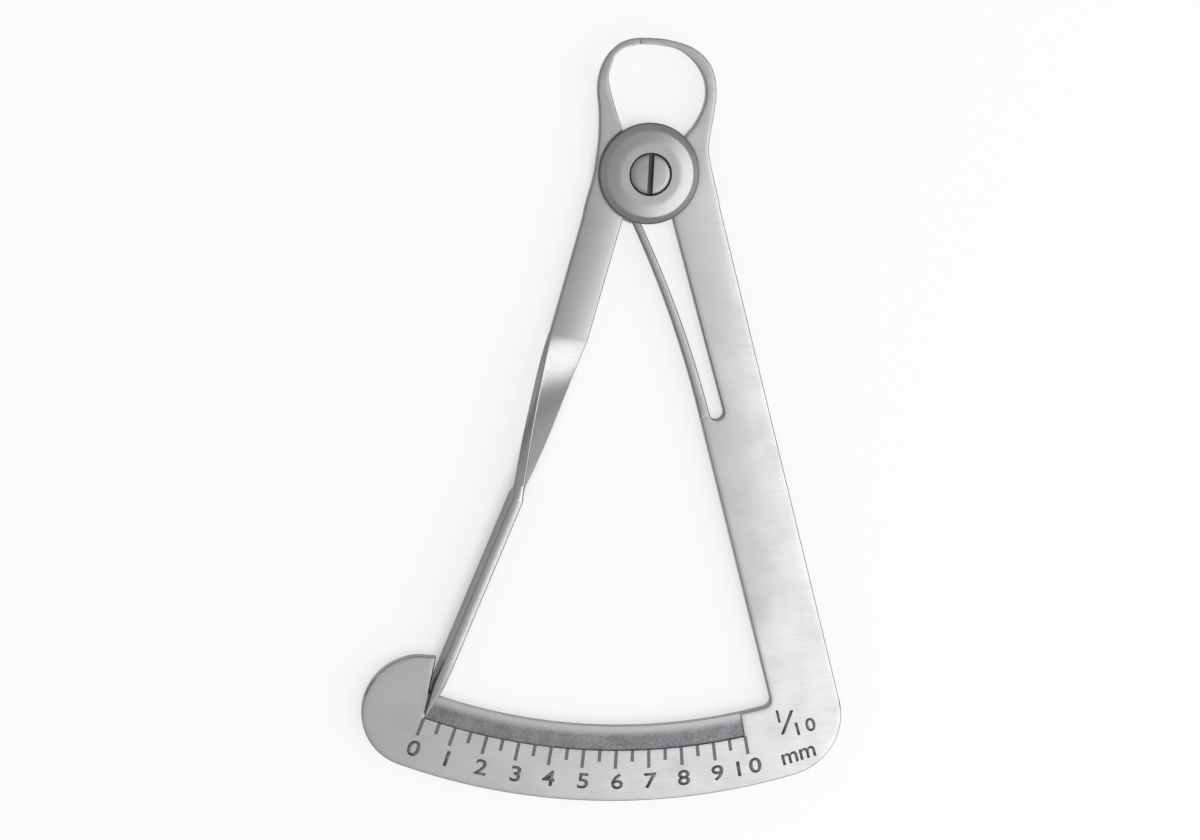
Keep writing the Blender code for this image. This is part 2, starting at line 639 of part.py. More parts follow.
def make_pivot_screw(material):
    seat = head_seat_level() + FACE_GAP
    top = seat + SCREW_HEAD_HEIGHT
    edge = SCREW_HEAD_RADIUS - SCREW_HEAD_CHAMFER
    profile = [
        (0, BORE_FLOOR + FACE_GAP), (SHANK_RADIUS, BORE_FLOOR + FACE_GAP), (SHANK_RADIUS, seat),
        (SCREW_HEAD_RADIUS, seat), (SCREW_HEAD_RADIUS, top - SCREW_HEAD_CHAMFER),
    ]
    for step in range(CURVE_STEPS + 1):
        share = step / CURVE_STEPS
        profile.append((edge * (1 - share), top + SCREW_HEAD_CROWN * (1 - (1 - share) ** 2)))
    screw = add_object("pivot_screw", ring_solid(profile, closed=False), material)
    height = SCREW_SLOT_DEPTH + SCREW_HEAD_CROWN + OVERRUN
    centre = (0, 0, top - SCREW_SLOT_DEPTH + height / 2)
    slot = box((SCREW_SLOT_WIDTH, 2 * SCREW_HEAD_RADIUS + OVERRUN, height), centre, SCREW_SLOT_ANGLE)
    cut(screw, "screw_slot_cutter", slot)


for old in list(bpy.data.objects):
    bpy.data.objects.remove(old, do_unlink=True)

satin_steel = steel("satin_stainless_steel", 0.60, 0.36)
spring_steel = steel("spring_stainless_steel", 0.55, 0.32)
polished_steel = steel("polished_stainless_steel", 0.66, 0.18)
screw_steel = steel("turned_stainless_steel", 0.56, 0.28)

make_scale_arm(satin_steel)
make_leaf_spring(spring_steel)
make_pointer_arm(satin_steel)
make_front_disc(polished_steel)
make_back_disc(polished_steel)
make_pivot_screw(screw_steel)
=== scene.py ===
# Spring caliper, 0 to 10 mm, of satin stainless steel, lying on a pale floor.
# The sections follow the instrument as it is put together. Sizes are in metres, in the CAD part's frame:
# the scale faces up (+Z), the jaws point to +Y, and the pivot is the Z axis.
# Angles on the plates are counted from straight down (-Y), positive to the right.
from math import cos, pi, radians, sin

import bmesh
import bpy
from mathutils import Matrix, Vector


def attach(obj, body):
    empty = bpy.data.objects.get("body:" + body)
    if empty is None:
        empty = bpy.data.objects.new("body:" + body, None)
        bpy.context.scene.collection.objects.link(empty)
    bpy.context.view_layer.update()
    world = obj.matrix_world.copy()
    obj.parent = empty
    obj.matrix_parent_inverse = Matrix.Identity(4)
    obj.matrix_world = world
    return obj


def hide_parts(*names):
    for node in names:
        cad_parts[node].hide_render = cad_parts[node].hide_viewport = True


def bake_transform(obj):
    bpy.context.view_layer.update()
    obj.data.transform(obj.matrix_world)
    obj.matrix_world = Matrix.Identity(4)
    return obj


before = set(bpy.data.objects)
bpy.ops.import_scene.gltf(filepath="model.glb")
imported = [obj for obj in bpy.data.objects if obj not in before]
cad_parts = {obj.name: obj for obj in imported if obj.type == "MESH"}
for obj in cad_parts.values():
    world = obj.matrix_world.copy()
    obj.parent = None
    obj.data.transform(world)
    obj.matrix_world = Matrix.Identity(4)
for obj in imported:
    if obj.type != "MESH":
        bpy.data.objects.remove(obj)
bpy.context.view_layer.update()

# Scale arm
# One flat arm sawn from 1.5 mm stainless plate: jaw, hub, long arm, scale arc and finger lobe in one piece.
# Its faces are ground along one direction and satin finished, and its edges are tumbled round.
# A shallow band inside the marks is masked and bead blasted, so that the pointer's tip stands out.
PLATE_FRONT = 0.003
INNER_RADIUS = 0.07735
BAND_RADIUS = 0.0808
BAND_FLOOR = 0.0027
RIM_HIGHLIGHT_WIDTH = 0.00033
RIM_HIGHLIGHT_FADE_END = 0.00165
MERGE_DISTANCE = 0.000002
FIT_TOLERANCE = 0.00002
FLAT_ANGLE = radians(0.4)
EDGE_ANGLE = radians(52)
GRIND_LINE_WIDTH = 0.0002
GRIND_LINE_LENGTH = 0.004
GRIND_LINE_DEPTH = 0.00001
GRIND_LINE_STRENGTH = 0.08
GRIND_LINE_SHARE = 0.4
CLOUD_SIZE = 0.005
CLOUD_LOW = 0.35
CLOUD_HIGH = 0.65
DARK_ROUGHNESS = 0.36
LIGHT_ROUGHNESS = 0.3
WALL_FACING = 0.2
LEVEL_FACING = 0.97
WORN_EDGE_RADIUS = 0.0011
GAP_SHADE_REACH = 0.0012
GAP_PAINTED_SHADE = 0.4
SHADED_OPENNESS = 0.2
UNSHADED_OPENNESS = 0.9
RAY_SAMPLES = 6
CROWN_START = 0.007
CROWN_FADE_LENGTH = 0.012
BLAST_GRAIN = 0.00045
BLAST_DENT_DEPTH = 0.00004
BLAST_DENT_STRENGTH = 0.5
BLAST_ROUGHNESS = 0.5
BLOTCH_SIZE = 0.0027
BLOTCH_SHARE = 0.5
MOTTLE_LOW = 0.38
MOTTLE_HIGH = 0.62
ARM_LEAN = radians(14.3)
ARM_MIDDLE = 0.00355
ARM_WIDTH = 0.0095
ARM_CROWN_SLOPE = radians(2.4)
ARM_CROWN_END = 0.072


def linear(code):
    """An sRGB hex colour as linear RGBA."""
    shares = [int(code[i:i + 2], 16) / 255 for i in (0, 2, 4)]
    return [s / 12.92 if s <= 0.04045 else ((s + 0.055) / 1.055) ** 2.4 for s in shares] + [1]


def add_node(tree, kind, settings, inputs):
    """Adds a node, gives it its settings, and sets or links each input named."""
    node = tree.nodes.new(kind)
    for name, value in settings.items():
        setattr(node, name, value)
    for name, value in inputs.items():
        if isinstance(value, bpy.types.NodeSocket):
            tree.links.new(value, node.inputs[name])
        else:
            node.inputs[name].default_value = value
    return node


def new_metal(name):
    """A metal's material and its shader. A metal keeps the default IOR."""
    material = bpy.data.materials.new(name)
    material.use_nodes = True
    shader = material.node_tree.nodes["Principled BSDF"]
    shader.inputs["Metallic"].default_value = 1
    return material, material.node_tree, shader


def crown_height(tree, place, slope, lean, middle, width, end):
    """How far an arm's face falls away from its middle line: tumbling crowns it a little, up to this end."""
    along = (sin(lean), -cos(lean), 0)
    across = (cos(lean), sin(lean), 0)
    far = add_node(tree, "ShaderNodeVectorMath", {"operation": "DOT_PRODUCT"}, {0: place, 1: along})
    aside = add_node(tree, "ShaderNodeVectorMath", {"operation": "DOT_PRODUCT"}, {0: place, 1: across})
    off = add_node(tree, "ShaderNodeMath", {"operation": "SUBTRACT"}, {0: aside.outputs["Value"], 1: middle})
    apart = add_node(tree, "ShaderNodeMath", {"operation": "ABSOLUTE"}, {0: off.outputs[0]})
    within = add_node(tree, "ShaderNodeMath", {"operation": "MINIMUM"}, {0: apart.outputs[0], 1: width / 2})
    square = add_node(tree, "ShaderNodeMath", {"operation": "POWER"}, {0: within.outputs[0], 1: 2})
    depth = add_node(tree, "ShaderNodeMapRange", {"interpolation_type": "SMOOTHSTEP"}, {
        "Value": far.outputs["Value"], "From Min": end - CROWN_FADE_LENGTH, "From Max": end,
        "To Min": -slope / width, "To Max": 0})
    clear = add_node(tree, "ShaderNodeMapRange", {"interpolation_type": "SMOOTHSTEP"}, {
        "Value": far.outputs["Value"], "From Min": 0, "From Max": CROWN_START})
    deep = add_node(tree, "ShaderNodeMath", {"operation": "MULTIPLY"}, {
        0: clear.outputs["Result"], 1: depth.outputs["Result"]})
    fall = add_node(tree, "ShaderNodeMath", {"operation": "MULTIPLY"}, {
        0: square.outputs[0], 1: deep.outputs[0]})
    return fall.outputs[0]


def ground_steel(name, dark, light, wall_shade, worn_share, crown):
    """Stainless steel, ground and satin finished: a clouded even grey with very faint short lines, and a soft
    shine that turns over worn edges. Painted shade darkens walls and chamfers the more they lean from level,
    and darkens narrow gaps and corners found by an occlusion test."""
    material, tree, shader = new_metal(name)
    place = add_node(tree, "ShaderNodeTexCoord", {}, {})
    stretch = add_node(tree, "ShaderNodeMapping", {}, {
        "Vector": place.outputs["Object"],
        "Scale": (1 / GRIND_LINE_LENGTH, 1 / GRIND_LINE_WIDTH, 1 / GRIND_LINE_WIDTH)})
    lines = add_node(tree, "ShaderNodeTexNoise", {}, {
        "Vector": stretch.outputs["Vector"], "Scale": 1, "Detail": 3, "Roughness": 0.6})
    clouds = add_node(tree, "ShaderNodeTexNoise", {}, {
        "Vector": place.outputs["Object"], "Scale": 1 / CLOUD_SIZE, "Detail": 4})
    both = add_node(tree, "ShaderNodeMix", {}, {
        "Factor": GRIND_LINE_SHARE, "A": clouds.outputs["Fac"], "B": lines.outputs["Fac"]})
    tone = add_node(tree, "ShaderNodeMapRange", {}, {
        "Value": both.outputs["Result"], "From Min": CLOUD_LOW, "From Max": CLOUD_HIGH})
    colour = add_node(tree, "ShaderNodeMix", {"data_type": "RGBA"}, {
        "Factor": tone.outputs["Result"], "A": linear(dark), "B": linear(light)})
    # Painted shade: the colour darkens as the face leans away from level, down to wall_shade on walls.
    face = add_node(tree, "ShaderNodeNewGeometry", {}, {})
    facing = add_node(tree, "ShaderNodeSeparateXYZ", {}, {"Vector": face.outputs["Normal"]})
    level = add_node(tree, "ShaderNodeMath", {"operation": "ABSOLUTE"}, {0: facing.outputs["Z"]})
    shade = add_node(tree, "ShaderNodeMapRange", {}, {
        "Value": level.outputs[0], "From Min": WALL_FACING, "From Max": LEVEL_FACING, "To Min": wall_shade})
    # Painted shade: narrow gaps and corners are darkened by an occlusion test within a short reach.
    open_air = add_node(
        tree, "ShaderNodeAmbientOcclusion", {"samples": RAY_SAMPLES}, {"Distance": GAP_SHADE_REACH})
    unshaded = add_node(tree, "ShaderNodeMapRange", {}, {
        "Value": open_air.outputs["AO"], "From Min": SHADED_OPENNESS, "From Max": UNSHADED_OPENNESS,
        "To Min": GAP_PAINTED_SHADE})
    kept = add_node(tree, "ShaderNodeMath", {"operation": "MULTIPLY"}, {
        0: shade.outputs["Result"], 1: unshaded.outputs["Result"]})
    shaded = add_node(tree, "ShaderNodeVectorMath", {"operation": "SCALE"}, {
        0: colour.outputs["Result"], "Scale": kept.outputs[0]})
    tree.links.new(shaded.outputs["Vector"], shader.inputs["Base Color"])
    rough = add_node(tree, "ShaderNodeMapRange", {}, {
        "Value": both.outputs["Result"], "From Min": CLOUD_LOW, "From Max": CLOUD_HIGH,
        "To Min": DARK_ROUGHNESS, "To Max": LIGHT_ROUGHNESS})
    tree.links.new(rough.outputs["Result"], shader.inputs["Roughness"])
    edges = add_node(tree, "ShaderNodeBevel", {"samples": RAY_SAMPLES}, {"Radius": WORN_EDGE_RADIUS})
    worn = add_node(tree, "ShaderNodeMix", {"data_type": "VECTOR"}, {
        "Factor": worn_share, "A": face.outputs["Normal"], "B": edges.outputs["Normal"]})
    turned = add_node(tree, "ShaderNodeVectorMath", {"operation": "NORMALIZE"}, {0: worn.outputs["Result"]})
    normal = turned.outputs["Vector"]
    if crown:
        height = crown_height(tree, place.outputs["Object"], *crown)
        crowned = add_node(tree, "ShaderNodeBump", {}, {"Height": height, "Distance": 1, "Normal": normal})
        normal = crowned.outputs["Normal"]
    bump = add_node(tree, "ShaderNodeBump", {}, {
        "Height": lines.outputs["Fac"], "Strength": GRIND_LINE_STRENGTH, "Distance": GRIND_LINE_DEPTH,
        "Normal": normal})
    tree.links.new(bump.outputs["Normal"], shader.inputs["Normal"])
    return material


def blasted_steel(name, dark, light, rim):
    """Bead-blasted stainless steel: dark, dull and mottled, and a painted highlight along the inner rim
    that fades into the blasted grey.
    """
    material, tree, shader = new_metal(name)
    place = add_node(tree, "ShaderNodeTexCoord", {}, {})
    grain = add_node(tree, "ShaderNodeTexNoise", {}, {
        "Vector": place.outputs["Object"], "Scale": 1 / BLAST_GRAIN, "Detail": 2})
    blotches = add_node(tree, "ShaderNodeTexNoise", {}, {
        "Vector": place.outputs["Object"], "Scale": 1 / BLOTCH_SIZE, "Detail": 2})
    mottle = add_node(tree, "ShaderNodeMix", {}, {
        "Factor": BLOTCH_SHARE, "A": grain.outputs["Fac"], "B": blotches.outputs["Fac"]})
    spread = add_node(tree, "ShaderNodeMapRange", {}, {
        "Value": mottle.outputs["Result"], "From Min": MOTTLE_LOW, "From Max": MOTTLE_HIGH})
    blasted = add_node(tree, "ShaderNodeMix", {"data_type": "RGBA"}, {
        "Factor": spread.outputs["Result"], "A": linear(dark), "B": linear(light)})
    flat = add_node(tree, "ShaderNodeVectorMath", {"operation": "MULTIPLY"}, {
        0: place.outputs["Object"], 1: (1, 1, 0)})
    radius = add_node(tree, "ShaderNodeVectorMath", {"operation": "LENGTH"}, {0: flat.outputs["Vector"]})
    # Painted highlight: the colour lightens along the inner rim, for light on the rim's edge.
    fade = add_node(tree, "ShaderNodeMapRange", {"interpolation_type": "SMOOTHSTEP"}, {
        "Value": radius.outputs["Value"], "From Min": INNER_RADIUS + RIM_HIGHLIGHT_WIDTH,
        "From Max": INNER_RADIUS + RIM_HIGHLIGHT_FADE_END})
    colour = add_node(tree, "ShaderNodeMix", {"data_type": "RGBA"}, {
        "Factor": fade.outputs["Result"], "A": linear(rim), "B": blasted.outputs["Result"]})
    tree.links.new(colour.outputs["Result"], shader.inputs["Base Color"])
    shader.inputs["Roughness"].default_value = BLAST_ROUGHNESS
    bump = add_node(tree, "ShaderNodeBump", {}, {
        "Height": grain.outputs["Fac"], "Strength": BLAST_DENT_STRENGTH, "Distance": BLAST_DENT_DEPTH})
    tree.links.new(bump.outputs["Normal"], shader.inputs["Normal"])
    return material


def merged_copy(node):
    """A CAD node's solid with its loose triangles merged into whole flat faces."""
    bm = bmesh.new()
    bm.from_mesh(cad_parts[node].data)
    bmesh.ops.remove_doubles(bm, verts=bm.verts, dist=MERGE_DISTANCE)
    bmesh.ops.dissolve_limit(
        bm, angle_limit=FLAT_ANGLE, use_dissolve_boundaries=False, verts=bm.verts, edges=bm.edges)
    return bm


def tumbled_piece(name, bm, materials, body):
    """Makes a piece whose chamfers shade as rounds, as tumbled edges do, and rides it on its body."""
    for face in bm.faces:
        face.smooth = True
    for edge in bm.edges:
        edge.smooth = edge.is_manifold and edge.calc_face_angle() < EDGE_ANGLE
    mesh = bpy.data.meshes.new(name)
    bm.to_mesh(mesh)
    bm.free()
    for material in materials:
        mesh.materials.append(material)
    piece = bpy.data.objects.new(name, mesh)
    bpy.context.scene.collection.objects.link(piece)
    modifier = piece.modifiers.new("tumbled_edges", "WEIGHTED_NORMAL")
    modifier.keep_sharp = True
    apply_modifiers(piece)
    if body:
        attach(piece, body)
    return piece


def apply_modifiers(piece):
    """Turns what the piece's modifiers make into its plain mesh."""
    graph = bpy.context.evaluated_depsgraph_get()
    mesh = bpy.data.meshes.new_from_object(
        piece.evaluated_get(graph), preserve_all_data_layers=True, depsgraph=graph)
    piece.modifiers.clear()
    piece.data = mesh
    mesh.name = piece.name


satin_steel = ground_steel(
    "satin_ground_stainless_steel", dark="a9aaab", light="b6b7b8", wall_shade=0.6, worn_share=0.2,
    crown=(ARM_CROWN_SLOPE, ARM_LEAN, ARM_MIDDLE, ARM_WIDTH, ARM_CROWN_END))
# The rim colour is the painted highlight along the band's inner edge.
band_steel = blasted_steel("bead_blasted_stainless_steel", dark="6f7173", light="888a8c", rim="aeafb0")

# The recess's floor and walls are blasted, and the rest of the plate is ground.
plate_bm = merged_copy("scale_arm")
for face in plate_bm.faces:
    middle = face.calc_center_median()
    in_depth = BAND_FLOOR - FIT_TOLERANCE < middle.z < PLATE_FRONT - FIT_TOLERANCE
    on_arc = INNER_RADIUS < middle.xy.length < BAND_RADIUS + FIT_TOLERANCE
    if in_depth and on_arc and middle.y < -INNER_RADIUS / 2:
        face.material_index = 1
scale_plate = tumbled_piece("scale_plate", plate_bm, [satin_steel, band_steel], "scale_frame")
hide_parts("scale_arm")

# Scale marks
# Eleven millimetre marks with half marks between them, the digits 0 to 10 below, and the unit.
# They are etched into the plate and filled dark grey, and the one is a plain stroke.
ZERO_ANGLE = radians(-22.7)
MARK_STEP = radians(3.272)
MARK_COUNT = 21
MARK_STROKE = 0.00048
LONG_MARK = 0.0026
HALF_MARK = 0.0016
MARK_DEPTH = 0.00005
MARK_FILL_RISE = 0.00001
DIGIT_RADIUS = 0.0854
DIGIT_SIZE = 0.0031
DIGIT_BROADENING = 1.2
LETTER_WEIGHT = 0.00005
LETTER_SMOOTHNESS = 6
ETCH_GRAIN = 0.0002
ETCH_LOW = 0.35
ETCH_HIGH = 0.65
ETCH_ROUGHNESS = 0.55


def etched_steel(name, dark, light):
    """Etched lettering in steel: matt mid grey with a broken, grainy tone."""
    material, tree, shader = new_metal(name)
    place = add_node(tree, "ShaderNodeTexCoord", {}, {})
    grain = add_node(tree, "ShaderNodeTexNoise", {}, {
        "Vector": place.outputs["Object"], "Scale": 1 / ETCH_GRAIN, "Detail": 2})
    spread = add_node(tree, "ShaderNodeMapRange", {}, {
        "Value": grain.outputs["Fac"], "From Min": ETCH_LOW, "From Max": ETCH_HIGH})
    colour = add_node(tree, "ShaderNodeMix", {"data_type": "RGBA"}, {
        "Factor": spread.outputs["Result"], "A": linear(dark), "B": linear(light)})
    tree.links.new(colour.outputs["Result"], shader.inputs["Base Color"])
    shader.inputs["Roughness"].default_value = ETCH_ROUGHNESS
    return material


def new_tree(name, sizes):
    """A Geometry Nodes tree with a named input for each size."""
    tree = bpy.data.node_groups.new(name, "GeometryNodeTree")
    tree.interface.new_socket("Geometry", in_out="INPUT", socket_type="NodeSocketGeometry")
    for size, value in sizes.items():
        kind = "NodeSocketInt" if isinstance(value, int) else "NodeSocketFloat"
        tree.interface.new_socket(size, in_out="INPUT", socket_type=kind)
    tree.interface.new_socket("Geometry", in_out="OUTPUT", socket_type="NodeSocketGeometry")
    return tree, add_node(tree, "NodeGroupInput", {}, {}).outputs


def end_tree(tree, geometry, material):
    """Ends the tree: instances made real, material set."""
    real = add_node(tree, "GeometryNodeRealizeInstances", {}, {"Geometry": geometry})
    dressed = add_node(tree, "GeometryNodeSetMaterial", {}, {
        "Geometry": real.outputs["Geometry"], "Material": material})
    add_node(tree, "NodeGroupOutput", {}, {"Geometry": dressed.outputs["Geometry"]})


def run_tree(name, mesh, tree, sizes, material):
    """Runs the tree on a mesh and keeps the result as the plain mesh of a new object."""
    piece = bpy.data.objects.new(name, mesh)
    mesh.materials.append(material)
    modifier = piece.modifiers.new(name, "NODES")
    modifier.node_group = tree
    for item in tree.interface.items_tree:
        if item.in_out == "INPUT" and item.name in sizes:
            modifier[item.identifier] = sizes[item.name]
    bpy.context.scene.collection.objects.link(piece)
    apply_modifiers(piece)
    return piece


def add_label(bm, text, size, broadening, radius, angle, slant):
    """Adds flat lettering, centred at this radius and angle, upright or slanting to its right."""
    letters = bpy.data.curves.new("label", "FONT")
    letters.body = text
    letters.size = size
    letters.offset = LETTER_WEIGHT
    letters.align_x = "CENTER"
    letters.align_y = "CENTER"
    letters.resolution_u = LETTER_SMOOTHNESS
    letters.fill_mode = "FRONT"
    label = bpy.data.objects.new("label", letters)
    bpy.context.scene.collection.objects.link(label)
    mesh = bpy.data.meshes.new_from_object(label.evaluated_get(bpy.context.evaluated_depsgraph_get()))
    bpy.data.objects.remove(label)
    mesh.transform(
        Matrix.Translation((radius * sin(angle), -radius * cos(angle), 0))
        @ Matrix.Rotation(angle - slant, 4, "Z") @ Matrix.Diagonal((broadening, 1, 1, 1)))
    bm.from_mesh(mesh)


def lettering_mesh(labels):
    """All the labels as one flat mesh."""
    bm = bmesh.new()
    for label in labels:
        add_label(bm, *label)
    mesh = bpy.data.meshes.new("scale_marks")
    bm.to_mesh(mesh)
    bm.free()
    return mesh


def marks_tree(sizes, material):
    """Sets the marks round the pivot, joins the lettering to them, and raises both to a thin solid."""
    tree, given = new_tree("scale_marks", sizes)
    points = add_node(tree, "GeometryNodePoints", {}, {"Count": given["Marks"]})
    number = add_node(tree, "GeometryNodeInputIndex", {}, {})
    turn = add_node(tree, "ShaderNodeMath", {"operation": "MULTIPLY_ADD"}, {
        0: number.outputs["Index"], 1: given["Half step"], 2: given["Zero angle"]})
    parity = add_node(tree, "ShaderNodeMath", {"operation": "MODULO"}, {0: number.outputs["Index"], 1: 2})
    length = add_node(tree, "ShaderNodeMix", {}, {
        "Factor": parity.outputs[0], "A": given["Long mark"], "B": given["Half mark"]})
    halved = add_node(tree, "ShaderNodeMath", {"operation": "MULTIPLY_ADD"}, {
        0: length.outputs["Result"], 1: 0.5, 2: given["Start radius"]})
    across = add_node(tree, "ShaderNodeMath", {"operation": "SINE"}, {0: turn.outputs[0]})
    down = add_node(tree, "ShaderNodeMath", {"operation": "COSINE"}, {0: turn.outputs[0]})
    x = add_node(tree, "ShaderNodeMath", {"operation": "MULTIPLY"}, {
        0: across.outputs[0], 1: halved.outputs[0]})
    y = add_node(tree, "ShaderNodeMath", {"operation": "MULTIPLY"}, {
        0: down.outputs[0], 1: halved.outputs[0]})
    minus_y = add_node(tree, "ShaderNodeMath", {"operation": "MULTIPLY"}, {0: y.outputs[0], 1: -1})
    place = add_node(tree, "ShaderNodeCombineXYZ", {}, {"X": x.outputs[0], "Y": minus_y.outputs[0]})
    placed = add_node(tree, "GeometryNodeSetPosition", {}, {
        "Geometry": points.outputs["Points"], "Position": place.outputs["Vector"]})
    turned = add_node(tree, "ShaderNodeCombineXYZ", {}, {"Z": turn.outputs[0]})
    grown = add_node(tree, "ShaderNodeCombineXYZ", {}, {
        "X": given["Stroke"], "Y": length.outputs["Result"], "Z": 1})
    stroke = add_node(tree, "GeometryNodeMeshGrid", {}, {
        "Size X": 1, "Size Y": 1, "Vertices X": 2, "Vertices Y": 2})
    marks = add_node(tree, "GeometryNodeInstanceOnPoints", {}, {
        "Points": placed.outputs["Geometry"], "Instance": stroke.outputs["Mesh"],
        "Rotation": turned.outputs["Vector"], "Scale": grown.outputs["Vector"]})
    flat = add_node(tree, "GeometryNodeJoinGeometry", {}, {})
    tree.links.new(marks.outputs["Instances"], flat.inputs["Geometry"])
    tree.links.new(given["Geometry"], flat.inputs["Geometry"])
    real = add_node(tree, "GeometryNodeRealizeInstances", {}, {"Geometry": flat.outputs["Geometry"]})
    up = add_node(tree, "ShaderNodeCombineXYZ", {}, {"Z": 1})
    raised = add_node(tree, "GeometryNodeExtrudeMesh", {"mode": "FACES"}, {
        "Mesh": real.outputs["Geometry"], "Offset": up.outputs["Vector"], "Offset Scale": given["Fill"],
        "Individual": False})
    under = add_node(tree, "GeometryNodeFlipFaces", {}, {"Mesh": real.outputs["Geometry"]})
    solid = add_node(tree, "GeometryNodeJoinGeometry", {}, {})
    tree.links.new(raised.outputs["Mesh"], solid.inputs["Geometry"])
    tree.links.new(under.outputs["Mesh"], solid.inputs["Geometry"])
    closed = add_node(tree, "GeometryNodeMergeByDistance", {}, {
        "Geometry": solid.outputs["Geometry"], "Distance": MERGE_DISTANCE})
    low = add_node(tree, "ShaderNodeCombineXYZ", {}, {"Z": given["Level"]})
    level = add_node(tree, "GeometryNodeTransform", {}, {
        "Geometry": closed.outputs["Geometry"], "Translation": low.outputs["Vector"]})
    end_tree(tree, level.outputs["Geometry"], material)
    return tree


# The one is drawn with a capital I, whose shape in a plain face is the real mark's single stroke.
# The digits stand a little right of their marks, as the real ones do: in degrees, one for each digit.
DIGITS = ["0", "I", "2", "3", "4", "5", "6", "7", "8", "9", "I 0"]
DIGIT_SHIFTS = [0.19, 0.19, 0.27, 0.36, 0.24, 0.27, 0.24, 0.1, 0.1, 0.1, -0.15]
labels = []
for digit, (text, shift) in enumerate(zip(DIGITS, DIGIT_SHIFTS)):
    angle = ZERO_ANGLE + MARK_STEP * digit + radians(shift)
    labels.append((text, DIGIT_SIZE, DIGIT_BROADENING, DIGIT_RADIUS, angle, 0))

# The unit beside the scale: the text, size, broadening, radius, angle and slant of each of its parts.
labels += [
    ("I", 0.0026, 1, 0.0792, radians(13.75), 0),
    ("/", 0.005, 1, 0.0805, radians(14.45), radians(19)),
    ("I 0", 0.0027, 1.1, 0.0818, radians(16.15), 0),
    ("mm", 0.0034, 1, 0.0853, radians(14.8), 0),
]
mark_sizes = {
    "Marks": MARK_COUNT, "Half step": MARK_STEP / 2, "Zero angle": ZERO_ANGLE, "Start radius": BAND_RADIUS,
    "Long mark": LONG_MARK, "Half mark": HALF_MARK, "Stroke": MARK_STROKE,
    "Fill": MARK_DEPTH + MARK_FILL_RISE, "Level": PLATE_FRONT - MARK_DEPTH,
}
etch_grey = etched_steel("etched_grey_steel", dark="626466", light="7a7c7e")
scale_marks = run_tree(
    "scale_marks", lettering_mesh(labels), marks_tree(mark_sizes, etch_grey), mark_sizes, etch_grey)
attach(scale_marks, "scale_frame")

# Spring tongue
# A narrow tongue slit out of the right arm and bent to its set, so it is the same plate and the same finish.
# Its tip bears on the pointer arm's nose. In use it bends as the jaws open, most of all near its root; here
# it keeps its rest shape.
ROOT = Vector((0.007954, -0.033369, 0))
ROOT_GAP = 0.0002

# The CAD gap at the tongue's root is closed, because the real tongue is one piece with the arm.
tongue_bm = merged_copy("leaf_spring")
along_arm = Vector((sin(ARM_LEAN), -cos(ARM_LEAN), 0))
reach = max((vert.co - ROOT).dot(along_arm) for vert in tongue_bm.verts)
for vert in tongue_bm.verts:
    if (vert.co - ROOT).dot(along_arm) > reach - ROOT_GAP / 4:
        vert.co += along_arm * ROOT_GAP
tip = min((vert.co for vert in tongue_bm.verts), key=lambda point: (point - ROOT).dot(along_arm)).copy()
spring_steel = ground_steel(
    "satin_spring_hard_stainless_steel", dark="929394", light="9e9fa0", wall_shade=0.6, worn_share=0.15,
    crown=None)
spring_tongue = tumbled_piece("spring_tongue", tongue_bm, [spring_steel], None)
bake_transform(spring_tongue)
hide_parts("leaf_spring")

# Pointer arm
# The left arm: jaw, lapped hub and nose are flat plate, and then the arm is twisted a quarter turn cold,
# so that it runs to the scale on edge. Its steel is painted a little darker than the scale arm's, as shade.
# Its end is ground to an index and slotted over the rim of the scale.
POINTER_LEAN = radians(-16.2)
POINTER_OFFSET = 0.0043
POINTER_WIDTH = 0.0052
BLADE_CROWN_SLOPE = radians(2)
BLADE_CROWN_END = 0.033
PLATE_THICKNESS = 0.0015
EDGE_CHAMFER = 0.0002
MID_LEVEL = 0.00225
TWIST_START = 0.024
TWIST_END = 0.0475
TWIST_LEAVE_LEAN = radians(-24)
TWIST_LEAVE_LENGTH = 0.0042
TWIST_ARRIVE_LENGTH = 0.0027
BLADE_LEAN = radians(-23.1)
BLADE_DEPTH = 0.0045
POINT_TAPER_LENGTH = 0.0047
POINT_THICKNESS = 0.00025
INDEX_END = INNER_RADIUS + 0.00285
INDEX_SLOPE_LENGTH = 0.0078
INDEX_DROP = 0.0009
REAR_PRONG_REACH = 0.0014
FORK_CLEARANCE = 0.0003
FORK_FACE_CLEARANCE = 0.0002
OVERRUN = 0.0005
TWIST_STEPS = 48
BLADE_STEPS = 8


def polar(radius, angle):
    """The point at this radius and angle."""
    return Vector((radius * sin(angle), -radius * cos(angle), 0))


def on_line(lean, offset, distance):
    """A point on the line that leans so from the pivot: offset to its right, distance along it."""
    along = polar(1, lean)
    return Vector((-along.y, along.x, 0)) * offset + along * distance


def blade_centre(distance):
    """A point on the straight blade's middle line, which ends over the zero mark."""
    return on_line(BLADE_LEAN, INDEX_END * sin(ZERO_ANGLE - BLADE_LEAN), distance)


